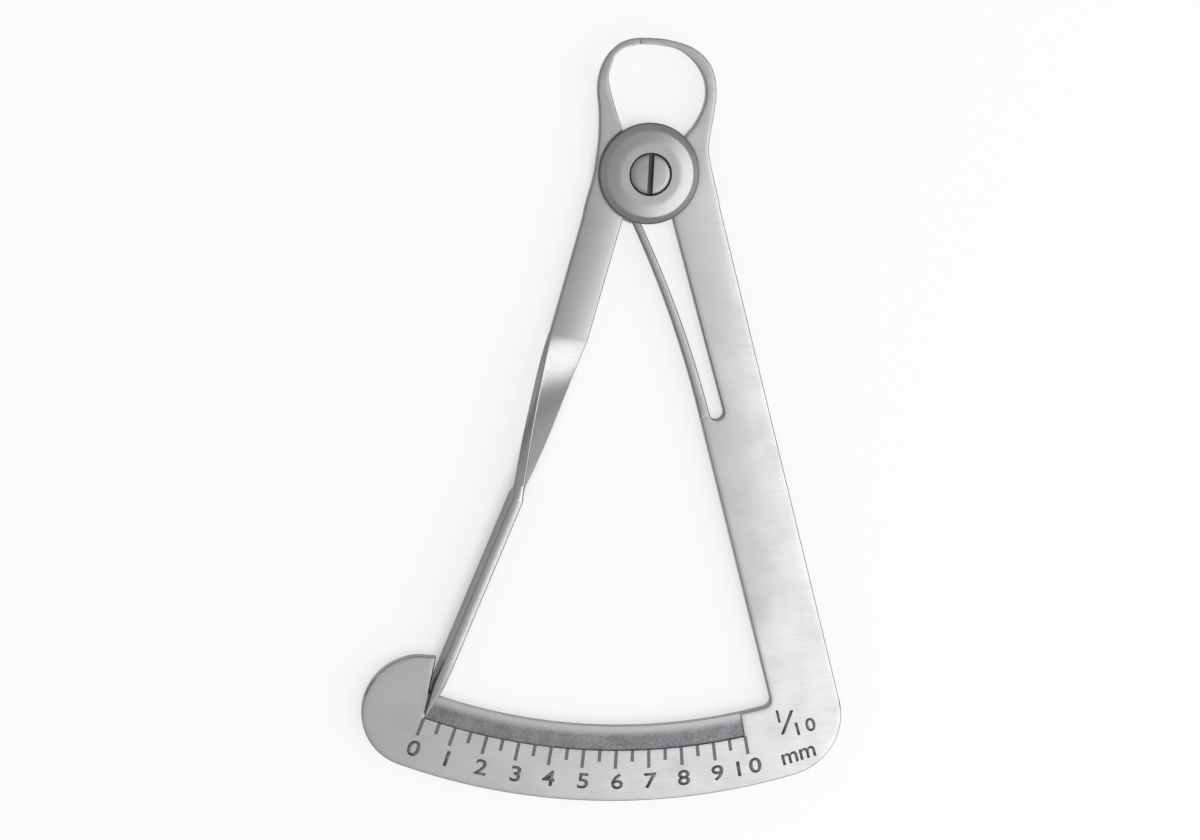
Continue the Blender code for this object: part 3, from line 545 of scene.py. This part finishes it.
def centre_line():
    """The blade's stations: centre, lean, twist, width, thickness and the drop of its front edge."""
    start = on_line(POINTER_LEAN, -POINTER_OFFSET, TWIST_START)
    end = blade_centre(TWIST_END)
    leave = start + polar(TWIST_LEAVE_LENGTH, TWIST_LEAVE_LEAN)
    arrive = end - polar(TWIST_ARRIVE_LENGTH, BLADE_LEAN)
    stations = []
    for step in range(TWIST_STEPS + 1):
        t = step / TWIST_STEPS
        back = 1 - t
        centre = start * back**3 + leave * (3 * t * back**2) + arrive * (3 * t**2 * back) + end * t**3
        twist = t * pi / 2
        width = POINTER_WIDTH + (BLADE_DEPTH - POINTER_WIDTH) * t
        if step:
            side = (PLATE_THICKNESS / 2 - EDGE_CHAMFER) * cos(twist)
            width = min(width, (BLADE_DEPTH / 2 - side) / sin(twist) * 2)
        lean = POINTER_LEAN + (BLADE_LEAN - POINTER_LEAN) * t
        stations.append((centre, lean, twist, width / POINTER_WIDTH, 1, 0))
    taper_start = INDEX_END - POINT_TAPER_LENGTH
    slope_start = INDEX_END - INDEX_SLOPE_LENGTH
    distances = [TWIST_END + (slope_start - TWIST_END) * i / BLADE_STEPS for i in range(1, BLADE_STEPS + 1)]
    for distance in distances + [taper_start, (taper_start + INDEX_END) / 2, INDEX_END]:
        thin = max(0, (distance - taper_start) / POINT_TAPER_LENGTH)
        drop = max(0, (distance - slope_start) / INDEX_SLOPE_LENGTH) * INDEX_DROP
        thickness = 1 - thin * (1 - POINT_THICKNESS / PLATE_THICKNESS)
        width = BLADE_DEPTH / POINTER_WIDTH
        stations.append((blade_centre(distance), BLADE_LEAN, pi / 2, width, thickness, drop))
    return stations


def line_mesh(stations):
    """The centre line as a chain of edges that carries each station's values."""
    mesh = bpy.data.meshes.new("pointer_blade")
    points = [(s[0].x, s[0].y, MID_LEVEL) for s in stations]
    mesh.from_pydata(points, [(i, i + 1) for i in range(len(points) - 1)], [])
    for place, name in enumerate(("lean", "twist", "width", "thickness", "drop"), start=1):
        values = mesh.attributes.new(name, "FLOAT", "POINT")
        values.data.foreach_set("value", [s[place] for s in stations])
    return mesh


def blade_tree(sizes, material):
    """Sweeps a chamfered bar along the centre line, turned by each station's twist."""
    tree, given = new_tree("twisted_blade", sizes)
    line = add_node(tree, "GeometryNodeMeshToCurve", {}, {"Mesh": given["Geometry"]})
    middle = add_node(tree, "GeometryNodeInputPosition", {}, {})
    path = add_node(tree, "GeometryNodeStoreNamedAttribute", {"data_type": "FLOAT_VECTOR"}, {
        "Geometry": line.outputs["Curve"], "Name": "middle", "Value": middle.outputs["Position"]})
    bar = add_node(tree, "GeometryNodeCurvePrimitiveQuadrilateral", {}, {
        "Width": given["Bar width"], "Height": given["Bar thickness"]})
    round_bar = add_node(tree, "GeometryNodeFilletCurve", {"mode": "POLY"}, {
        "Curve": bar.outputs["Curve"], "Radius": given["Chamfer"], "Count": 1})
    corner = add_node(tree, "GeometryNodeInputPosition", {}, {})
    section = add_node(tree, "GeometryNodeStoreNamedAttribute", {"data_type": "FLOAT_VECTOR"}, {
        "Geometry": round_bar.outputs["Curve"], "Name": "corner", "Value": corner.outputs["Position"]})
    swept = add_node(tree, "GeometryNodeCurveToMesh", {}, {
        "Curve": path.outputs["Geometry"], "Profile Curve": section.outputs["Geometry"], "Fill Caps": False})
    read = {}
    for name in ("middle", "corner", "lean", "twist", "width", "thickness", "drop"):
        kind = "FLOAT_VECTOR" if name in ("middle", "corner") else "FLOAT"
        found = add_node(tree, "GeometryNodeInputNamedAttribute", {"data_type": kind}, {"Name": name})
        read[name] = found.outputs["Attribute"]
    part = add_node(tree, "ShaderNodeSeparateXYZ", {}, {"Vector": read["corner"]})
    broad = add_node(tree, "ShaderNodeMath", {"operation": "MULTIPLY"}, {
        0: part.outputs["X"], 1: read["width"]})
    deep = add_node(tree, "ShaderNodeMath", {"operation": "MULTIPLY"}, {
        0: part.outputs["Y"], 1: read["thickness"]})
    wave = {}
    for name, angle in (("lean", read["lean"]), ("twist", read["twist"])):
        for kind in ("SINE", "COSINE"):
            wave[name, kind] = add_node(tree, "ShaderNodeMath", {"operation": kind}, {0: angle}).outputs[0]
    right = add_node(tree, "ShaderNodeCombineXYZ", {}, {
        "X": wave["lean", "COSINE"], "Y": wave["lean", "SINE"]})
    flat = add_node(tree, "ShaderNodeMath", {"operation": "MULTIPLY"}, {
        0: broad.outputs[0], 1: wave["twist", "COSINE"]})
    out = add_node(tree, "ShaderNodeMath", {"operation": "MULTIPLY_ADD"}, {
        0: deep.outputs[0], 1: wave["twist", "SINE"], 2: flat.outputs[0]})
    upright = add_node(tree, "ShaderNodeMath", {"operation": "MULTIPLY"}, {
        0: deep.outputs[0], 1: wave["twist", "COSINE"]})
    fallen = add_node(tree, "ShaderNodeMath", {"operation": "MULTIPLY"}, {
        0: broad.outputs[0], 1: wave["twist", "SINE"]})
    height = add_node(tree, "ShaderNodeMath", {"operation": "SUBTRACT"}, {
        0: upright.outputs[0], 1: fallen.outputs[0]})
    front = add_node(tree, "ShaderNodeMath", {"operation": "LESS_THAN"}, {0: broad.outputs[0], 1: 0})
    lowered = add_node(tree, "ShaderNodeMath", {"operation": "MULTIPLY"}, {
        0: front.outputs[0], 1: read["drop"]})
    level = add_node(tree, "ShaderNodeMath", {"operation": "SUBTRACT"}, {
        0: height.outputs[0], 1: lowered.outputs[0]})
    lift = add_node(tree, "ShaderNodeCombineXYZ", {}, {"Z": level.outputs[0]})
    aside = add_node(tree, "ShaderNodeVectorMath", {"operation": "SCALE"}, {
        0: right.outputs["Vector"], "Scale": out.outputs[0]})
    off_line = add_node(tree, "ShaderNodeVectorMath", {"operation": "ADD"}, {
        0: aside.outputs["Vector"], 1: lift.outputs["Vector"]})
    place = add_node(tree, "ShaderNodeVectorMath", {"operation": "ADD"}, {
        0: read["middle"], 1: off_line.outputs["Vector"]})
    turned = add_node(tree, "GeometryNodeSetPosition", {}, {
        "Geometry": swept.outputs["Mesh"], "Position": place.outputs["Vector"]})
    end_tree(tree, turned.outputs["Geometry"], material)
    return tree


def cutting_box(size, centre, turn):
    """A block whose length runs along the line at this angle."""
    mesh = bpy.data.meshes.new("fork_cutter")
    bm = bmesh.new()
    bmesh.ops.create_cube(bm, size=1)
    bmesh.ops.scale(bm, vec=size, verts=bm.verts)
    bmesh.ops.rotate(bm, cent=(0, 0, 0), matrix=Matrix.Rotation(turn, 3, "Z"), verts=bm.verts)
    bmesh.ops.translate(bm, vec=centre, verts=bm.verts)
    bm.to_mesh(mesh)
    bm.free()
    cutter = bpy.data.objects.new("fork_cutter", mesh)
    bpy.context.scene.collection.objects.link(cutter)
    return cutter


# Painted shade: the pointer's steel is a little darker than the scale arm's, and its sides darker still.
satin_blade = ground_steel(
    "satin_twisted_stainless_steel", dark="a5a6a7", light="b0b1b2", wall_shade=0.44, worn_share=0.08,
    crown=(BLADE_CROWN_SLOPE, POINTER_LEAN, -POINTER_OFFSET, POINTER_WIDTH, BLADE_CROWN_END))
blade_sizes = {"Bar width": POINTER_WIDTH, "Bar thickness": PLATE_THICKNESS, "Chamfer": EDGE_CHAMFER}
blade = run_tree(
    "pointer_blade", line_mesh(centre_line()), blade_tree(blade_sizes, satin_blade), blade_sizes, satin_blade)

# The flat head is the CAD arm's, cut off square where the twist starts. The blade is merged with it there,
# because the real arm is one piece.
pointer_bm = merged_copy("pointer_arm")
head_along = polar(1, POINTER_LEAN)
bmesh.ops.bisect_plane(
    pointer_bm, geom=pointer_bm.verts[:] + pointer_bm.edges[:] + pointer_bm.faces[:], dist=MERGE_DISTANCE,
    plane_co=head_along * TWIST_START, plane_no=head_along, clear_outer=True)
bmesh.ops.dissolve_limit(
    pointer_bm, angle_limit=FLAT_ANGLE, use_dissolve_boundaries=True,
    verts=pointer_bm.verts, edges=pointer_bm.edges)
pointer_bm.from_mesh(blade.data)
bpy.data.objects.remove(blade)
bmesh.ops.remove_doubles(pointer_bm, verts=pointer_bm.verts, dist=FIT_TOLERANCE)
open_edges = [edge for edge in pointer_bm.edges if edge.is_boundary]
bmesh.ops.holes_fill(pointer_bm, edges=open_edges, sides=0)
bmesh.ops.recalc_face_normals(pointer_bm, faces=pointer_bm.faces)
pointer_mesh = bpy.data.meshes.new("pointer_rough")
pointer_bm.to_mesh(pointer_mesh)
pointer_bm.free()
pointer_rough = bpy.data.objects.new("pointer_rough", pointer_mesh)
bpy.context.scene.collection.objects.link(pointer_rough)

# The fork is cut into the blade's end: a mouth for the scale's rim, and a shorter prong behind it.
plate_back = PLATE_FRONT - PLATE_THICKNESS
fork_mouth = INNER_RADIUS - FORK_CLEARANCE
fork_end = INDEX_END + OVERRUN
fork_bottom = plate_back - FORK_FACE_CLEARANCE
fork_top = PLATE_FRONT + FORK_FACE_CLEARANCE
fork_place = blade_centre((fork_mouth + fork_end) / 2)
fork_place.z = (fork_bottom + fork_top) / 2
prong_start = INNER_RADIUS + REAR_PRONG_REACH
prong_place = blade_centre((prong_start + fork_end) / 2)
prong_place.z = (plate_back - OVERRUN) / 2
cutters = [
    cutting_box((PLATE_THICKNESS * 2, fork_end - fork_mouth, fork_top - fork_bottom), fork_place, BLADE_LEAN),
    cutting_box((PLATE_THICKNESS * 2, fork_end - prong_start, plate_back + OVERRUN), prong_place, BLADE_LEAN),
]
for cutter in cutters:
    modifier = pointer_rough.modifiers.new(cutter.name, "BOOLEAN")
    modifier.object = cutter
apply_modifiers(pointer_rough)
finished_bm = bmesh.new()
finished_bm.from_mesh(pointer_rough.data)
for cutter in cutters + [pointer_rough]:
    bpy.data.objects.remove(cutter)
pointer_piece = tumbled_piece("pointer", finished_bm, [satin_blade], "pointer")
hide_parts("pointer_arm")

# Discs and pivot screw
# The front disc is turned from bar and polished: flat round the screw, sloping outside it, bevelled at its
# rim. The back disc is plain, with the spigot that both arms turn on. The screw holds the discs together.
TURNED_LINE_WIDTH = 0.00012
TURNED_LINE_DEPTH = 0.000006
TURNED_LINE_STRENGTH = 0.2
TURNED_CLOUD_SIZE = 0.002
TURNED_CLOUD_SHARE = 0.5
SHINE_LOW = 0.3
SHINE_HIGH = 0.7
SMOOTHER_BY = 0.03
ROUGHER_BY = 0.04
RIM_SHADE_FADE_WIDTH = 0.0003
DISC_RADIUS = 0.0068
DISC_BOTTOM = 0.0031
DISC_THICKNESS = 0.00125
DISC_RIM_HEIGHT = 0.0003
DISC_BEVEL_WIDTH = 0.001
DISC_DOME_RISE = 0.00025
DISC_FLAT_RADIUS = 0.0042
DISC_EDGE_ROUND = 0.00018
HEAD_HOLE_RADIUS = 0.0029
HEAD_THROAT_RADIUS = 0.00273
HEAD_THROAT_DROP = 0.00034
HEAD_SEAT = 0.00345
SHANK_HOLE_RADIUS = 0.0013
HEAD_SLOT_WIDTH = 0.00075
HEAD_SLOT_ANGLE = radians(-3)
RECESS_SHADE_GRAIN = 0.0002
RECESS_SHADE_ROUGHNESS = 0.6
TURN_STEPS = 128
ROUND_STEPS = 5


def turned_steel(name, dark, light, roughness, rim_shade_radius):
    """Stainless steel turned on a lathe: fine rings round the axis, a shine that varies from ring to ring,
    and a painted dark line of shade outside this radius, where the rim stands in shadow."""
    material, tree, shader = new_metal(name)
    place = add_node(tree, "ShaderNodeTexCoord", {}, {})
    flat = add_node(tree, "ShaderNodeVectorMath", {"operation": "MULTIPLY"}, {
        0: place.outputs["Object"], 1: (1, 1, 0)})
    radius = add_node(tree, "ShaderNodeVectorMath", {"operation": "LENGTH"}, {0: flat.outputs["Vector"]})
    rings = add_node(tree, "ShaderNodeTexNoise", {"noise_dimensions": "1D"}, {
        "W": radius.outputs["Value"], "Scale": 1 / TURNED_LINE_WIDTH, "Detail": 2})
    clouds = add_node(tree, "ShaderNodeTexNoise", {}, {
        "Vector": place.outputs["Object"], "Scale": 1 / TURNED_CLOUD_SIZE, "Detail": 3})
    both = add_node(tree, "ShaderNodeMix", {}, {
        "Factor": TURNED_CLOUD_SHARE, "A": rings.outputs["Fac"], "B": clouds.outputs["Fac"]})
    unshaded = add_node(tree, "ShaderNodeMix", {"data_type": "RGBA"}, {
        "Factor": both.outputs["Result"], "A": linear(dark), "B": linear(light)})
    # Painted shade: the colour darkens outside the given radius, for the shadowed foot of the disc's rim.
    rim_shade = add_node(tree, "ShaderNodeMapRange", {"interpolation_type": "SMOOTHSTEP"}, {
        "Value": radius.outputs["Value"], "From Min": rim_shade_radius, "From Max": rim_shade_radius + RIM_SHADE_FADE_WIDTH})
    colour = add_node(tree, "ShaderNodeMix", {"data_type": "RGBA"}, {
        "Factor": rim_shade.outputs["Result"], "A": unshaded.outputs["Result"], "B": linear("6c6c6d")})
    tree.links.new(colour.outputs["Result"], shader.inputs["Base Color"])
    rough = add_node(tree, "ShaderNodeMapRange", {}, {
        "Value": both.outputs["Result"], "From Min": SHINE_LOW, "From Max": SHINE_HIGH,
        "To Min": roughness - SMOOTHER_BY, "To Max": roughness + ROUGHER_BY})
    tree.links.new(rough.outputs["Result"], shader.inputs["Roughness"])
    bump = add_node(tree, "ShaderNodeBump", {}, {
        "Height": rings.outputs["Fac"], "Strength": TURNED_LINE_STRENGTH, "Distance": TURNED_LINE_DEPTH})
    tree.links.new(bump.outputs["Normal"], shader.inputs["Normal"])
    return material


def rounded(before, corner, after, size):
    """A profile's corner, rounded off over this length of both its sides."""
    start = corner + (before - corner).normalized() * size
    end = corner + (after - corner).normalized() * size
    shares = [step / ROUND_STEPS for step in range(ROUND_STEPS + 1)]
    return [start * (1 - s) ** 2 + corner * (2 * s * (1 - s)) + end * s**2 for s in shares]


def front_disc_bm():
    """The front disc's profile, turned about the pivot."""
    top = DISC_BOTTOM + DISC_THICKNESS
    under = Vector((DISC_RADIUS, DISC_BOTTOM))
    rim = Vector((DISC_RADIUS, DISC_BOTTOM + DISC_RIM_HEIGHT))
    edge = Vector((DISC_RADIUS - DISC_BEVEL_WIDTH, top - DISC_DOME_RISE))
    flat = Vector((DISC_FLAT_RADIUS, top))
    mouth = Vector((HEAD_HOLE_RADIUS, top))
    throat = Vector((HEAD_THROAT_RADIUS, top - HEAD_THROAT_DROP))
    profile = [Vector((SHANK_HOLE_RADIUS, HEAD_SEAT)), Vector((SHANK_HOLE_RADIUS, DISC_BOTTOM)), under]
    profile += rounded(under, rim, edge, DISC_EDGE_ROUND / 2)
    profile += rounded(rim, edge, flat, DISC_EDGE_ROUND)
    profile += rounded(edge, flat, mouth, DISC_EDGE_ROUND * 2)
    profile += [mouth, throat, Vector((HEAD_THROAT_RADIUS, HEAD_SEAT))]
    bm = bmesh.new()
    verts = [bm.verts.new((radius, 0, level)) for radius, level in profile]
    edges = [bm.edges.new((verts[i], verts[(i + 1) % len(verts)])) for i in range(len(verts))]
    bmesh.ops.spin(
        bm, geom=verts + edges, cent=(0, 0, 0), axis=(0, 0, 1), angle=2 * pi, steps=TURN_STEPS,
        use_merge=True)
    bmesh.ops.remove_doubles(bm, verts=bm.verts, dist=MERGE_DISTANCE)
    bmesh.ops.recalc_face_normals(bm, faces=bm.faces)
    return bm


# The disc gets the painted rim shade along its outer edge; the screw ends inside that radius.
disc_steel = turned_steel(
    "polished_turned_stainless_steel", dark="9c9d9e", light="aeafb0", roughness=0.35,
    rim_shade_radius=DISC_RADIUS - RIM_SHADE_FADE_WIDTH)
screw_steel = turned_steel(
    "turned_stainless_screw_steel", dark="929394", light="a4a5a6", roughness=0.42, rim_shade_radius=DISC_RADIUS)

# Painted shade: the screw's slot and the recess round its head are a dark mottled grey, for the shade in
# them.
recess_shade_steel, recess_shade_tree, recess_shade_shader = new_metal("recess_painted_shade_steel")
recess_shade_place = add_node(recess_shade_tree, "ShaderNodeTexCoord", {}, {})
recess_shade_spots = add_node(recess_shade_tree, "ShaderNodeTexNoise", {}, {
    "Vector": recess_shade_place.outputs["Object"], "Scale": 1 / RECESS_SHADE_GRAIN, "Detail": 2})
recess_shade_colour = add_node(recess_shade_tree, "ShaderNodeMix", {"data_type": "RGBA"}, {
    "Factor": recess_shade_spots.outputs["Fac"], "A": linear("505051"), "B": linear("747475")})
recess_shade_tree.links.new(recess_shade_colour.outputs["Result"], recess_shade_shader.inputs["Base Color"])
recess_shade_shader.inputs["Roughness"].default_value = RECESS_SHADE_ROUGHNESS

disc_bm = front_disc_bm()
# The faces of the recess round the screw head get the painted recess shade.
for face in disc_bm.faces:
    middle = face.calc_center_median()
    in_throat = middle.xy.length < HEAD_THROAT_RADIUS + MERGE_DISTANCE
    above_seat = middle.z > HEAD_SEAT - MERGE_DISTANCE
    face.material_index = 1 if in_throat and above_seat else 0
front_disc = tumbled_piece("domed_disc", disc_bm, [disc_steel, recess_shade_steel], "scale_frame")
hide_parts("front_disc")
back_disc = tumbled_piece(
    "spigot_disc", merged_copy("back_disc"), [disc_steel], "scale_frame")
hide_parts("back_disc")
screw_bm = merged_copy("pivot_screw")
# The faces in the screw's slot get the painted recess shade.
across_slot = Vector((cos(HEAD_SLOT_ANGLE), sin(HEAD_SLOT_ANGLE), 0))
slot_half = HEAD_SLOT_WIDTH / 2 + MERGE_DISTANCE
for face in screw_bm.faces:
    in_slot = face.calc_center_median().z > HEAD_SEAT and all(
        abs(vert.co.dot(across_slot)) < slot_half for vert in face.verts)
    face.material_index = 1 if in_slot else 0
screw = tumbled_piece("slotted_screw", screw_bm, [screw_steel, recess_shade_steel], "scale_frame")
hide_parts("pivot_screw")

# Floor, light and camera
# A plain pale floor under one even sky, with a softbox on the scale arm's side, half way up.
# A ring of grey card stands round the object, seen only in the steel, as in a product studio.
FLOOR_RADIUS = 2.5
FLOOR_LEVEL = -0.00002
FLOOR_WHITENING = 0.8
CONTACT_SHADOW_WIDTH = 0.0018
SKY_STRENGTH = 0.6
CARD_RADIUS = 0.6
CARD_HEIGHT = 0.32
STAGE_SEGMENTS = {"floor": 96, "grey_card": 64}
MATT_ROUGHNESS = 0.9
SOFTBOX_SIZE = 0.8
SOFTBOX_DISTANCE = 0.75
SOFTBOX_DIRECTION = Vector((0.66, -0.3, 0.7)).normalized()
SOFTBOX_POWER = 4


def stage_piece(name, bm, code):
    """A matt piece of the stage, evenly coloured and without a shine, such as paper or card."""
    mesh = bpy.data.meshes.new(name)
    bm.to_mesh(mesh)
    bm.free()
    material = bpy.data.materials.new(name)
    material.use_nodes = True
    shader = material.node_tree.nodes["Principled BSDF"]
    shader.inputs["Base Color"].default_value = linear(code)
    shader.inputs["Roughness"].default_value = MATT_ROUGHNESS
    shader.inputs["Specular IOR Level"].default_value = 0
    mesh.materials.append(material)
    piece = bpy.data.objects.new(name, mesh)
    bpy.context.scene.collection.objects.link(piece)
    return piece


def whiten(piece):
    """Lifts a stage piece towards plain white for the camera and for reflections, and keeps its shadow."""
    tree = piece.data.materials[0].node_tree
    path = add_node(tree, "ShaderNodeLightPath", {}, {})
    seen = add_node(tree, "ShaderNodeMath", {"operation": "ADD"}, {
        0: path.outputs["Is Camera Ray"], 1: path.outputs["Is Glossy Ray"]})
    reached = add_node(tree, "ShaderNodeMath", {"operation": "ADD", "use_clamp": True}, {
        0: seen.outputs[0], 1: path.outputs["Is Transmission Ray"]})
    open_air = add_node(
        tree, "ShaderNodeAmbientOcclusion", {"samples": RAY_SAMPLES}, {"Distance": CONTACT_SHADOW_WIDTH})
    lift = add_node(tree, "ShaderNodeMath", {"operation": "MULTIPLY"}, {
        0: open_air.outputs["AO"], 1: FLOOR_WHITENING})
    share = add_node(tree, "ShaderNodeMath", {"operation": "MULTIPLY"}, {
        0: reached.outputs[0], 1: lift.outputs[0]})
    white = add_node(tree, "ShaderNodeEmission", {}, {"Color": linear("ffffff"), "Strength": 1})
    mixed = add_node(tree, "ShaderNodeMixShader", {}, {
        0: share.outputs[0], 1: tree.nodes["Principled BSDF"].outputs["BSDF"], 2: white.outputs["Emission"]})
    tree.links.new(mixed.outputs["Shader"], tree.nodes["Material Output"].inputs["Surface"])


floor_bm = bmesh.new()
bmesh.ops.create_circle(
    floor_bm, cap_ends=True, segments=STAGE_SEGMENTS["floor"], radius=FLOOR_RADIUS,
    matrix=Matrix.Translation((0, 0, FLOOR_LEVEL)))
whiten(stage_piece("floor", floor_bm, "f2f2f2"))

card_bm = bmesh.new()
bmesh.ops.create_cone(
    card_bm, segments=STAGE_SEGMENTS["grey_card"], radius1=CARD_RADIUS, radius2=CARD_RADIUS,
    depth=CARD_HEIGHT, matrix=Matrix.Translation((0, 0, CARD_HEIGHT / 2)))
card = stage_piece("grey_card", card_bm, "b4b4b4")
card.visible_camera = False
card.visible_diffuse = False
card.visible_shadow = False

world = bpy.data.worlds.new("even_sky")
bpy.context.scene.world = world
world.use_nodes = True
world.node_tree.nodes["Background"].inputs["Color"].default_value = linear("ffffff")
world.node_tree.nodes["Background"].inputs["Strength"].default_value = SKY_STRENGTH

softbox = bpy.data.lights.new("softbox", "AREA")
softbox.shape = "SQUARE"
softbox.size = SOFTBOX_SIZE
softbox.energy = SOFTBOX_POWER
softbox_stand = bpy.data.objects.new("softbox", softbox)
softbox_stand.location = SOFTBOX_DIRECTION * SOFTBOX_DISTANCE
softbox_stand.rotation_mode = "QUATERNION"
softbox_stand.rotation_quaternion = SOFTBOX_DIRECTION.to_track_quat("Z", "Y")
bpy.context.scene.collection.objects.link(softbox_stand)

# The camera looks down from the upper left, as fitted to the scale's marks in the photograph.
FOCAL_PIXELS = 2500
IMAGE_WIDTH = 1200
IMAGE_HEIGHT = 840
SENSOR_WIDTH = 36
NEAREST_SEEN = 0.01
PIVOT_PIXEL = (649, 173.5)
PIVOT_DEPTH = 0.3344
CAMERA_RIGHT = Vector((0.9877, 0, 0.1564)).normalized()
CAMERA_BACK = Vector((-0.1534, 0.1959, 0.9686)).normalized()

camera_up = CAMERA_BACK.cross(CAMERA_RIGHT).normalized()
camera_right = camera_up.cross(CAMERA_BACK)
pixel_size = PIVOT_DEPTH / FOCAL_PIXELS
aside = (PIVOT_PIXEL[0] - IMAGE_WIDTH / 2) * pixel_size
above = (IMAGE_HEIGHT / 2 - PIVOT_PIXEL[1]) * pixel_size
camera_data = bpy.data.cameras.new("camera")
camera_data.sensor_width = SENSOR_WIDTH
camera_data.lens = FOCAL_PIXELS * SENSOR_WIDTH / IMAGE_WIDTH
camera_data.clip_start = NEAREST_SEEN
camera = bpy.data.objects.new("camera", camera_data)
turn = Matrix((camera_right, camera_up, CAMERA_BACK)).transposed()
camera.location = (
    Vector((0, 0, PLATE_FRONT)) - camera_right * aside - camera_up * above + CAMERA_BACK * PIVOT_DEPTH)
camera.rotation_mode = "QUATERNION"
camera.rotation_quaternion = turn.to_quaternion()
bpy.context.scene.collection.objects.link(camera)
bpy.context.scene.camera = camera
bpy.context.scene.view_settings.view_transform = "Standard"
